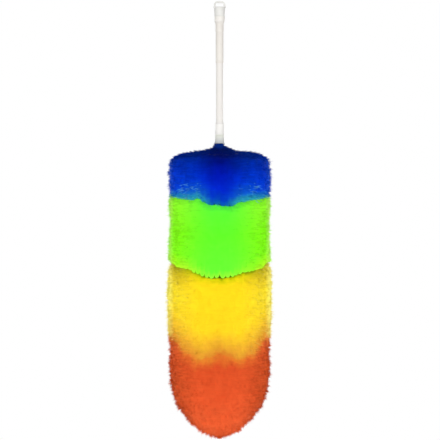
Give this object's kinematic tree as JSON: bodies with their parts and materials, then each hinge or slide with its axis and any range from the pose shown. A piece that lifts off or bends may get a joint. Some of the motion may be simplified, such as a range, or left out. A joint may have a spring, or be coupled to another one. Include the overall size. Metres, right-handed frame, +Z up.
{
  "type": "hand duster",
  "caption": "Hanging hand duster: a slim white plastic handle with a hanging eye, and a round fluffy fibre head in blue, green, yellow and orange bands on a twisted wire.",
  "frame": {"origin": "the highest point inside the hanging eye, where a hook carries the duster, on the duster's axis", "axes": "+Z up along the duster's axis, from the fibre tip towards the eye; +Y is the back, and the front of the picture looks along +Y; the eye's opening runs along Y"},
  "size_m": [0.1476, 0.1476, 0.6098],
  "materials": {
    "cap_plastic": "injection-moulded white polypropylene, soft gloss",
    "sleeve_plastic": "moulded white plastic sleeve, soft gloss",
    "tube_plastic": "extruded white plastic tube, gloss",
    "ferrule_plastic": "injection-moulded white plastic, gloss",
    "collar_plastic": "natural translucent plastic, tinted by the fibre behind it",
    "plug_plastic": "moulded plastic, hidden inside the tube",
    "galvanised_wire": "galvanised steel wire, dull bright",
    "blue_fibre": "dyed polypropylene fibre, deep blue, teal at the lower fringe",
    "green_fibre": "dyed polypropylene fibre, bright green",
    "yellow_fibre": "dyed polypropylene fibre, warm yellow, amber at the lower edge",
    "orange_fibre": "dyed polypropylene fibre, red-orange"
  },
  "bodies": {
    "root": {"end_cap": "cap_plastic", "grip_sleeve": "sleeve_plastic", "handle_tube": "tube_plastic", "ferrule": "ferrule_plastic", "neck_collar": "collar_plastic", "stem_plug": "plug_plastic", "wire_stem": "galvanised_wire", "blue_fibre": "blue_fibre", "green_fibre": "green_fibre", "yellow_fibre": "yellow_fibre", "orange_fibre": "orange_fibre"}
  },
  "joints": []
}
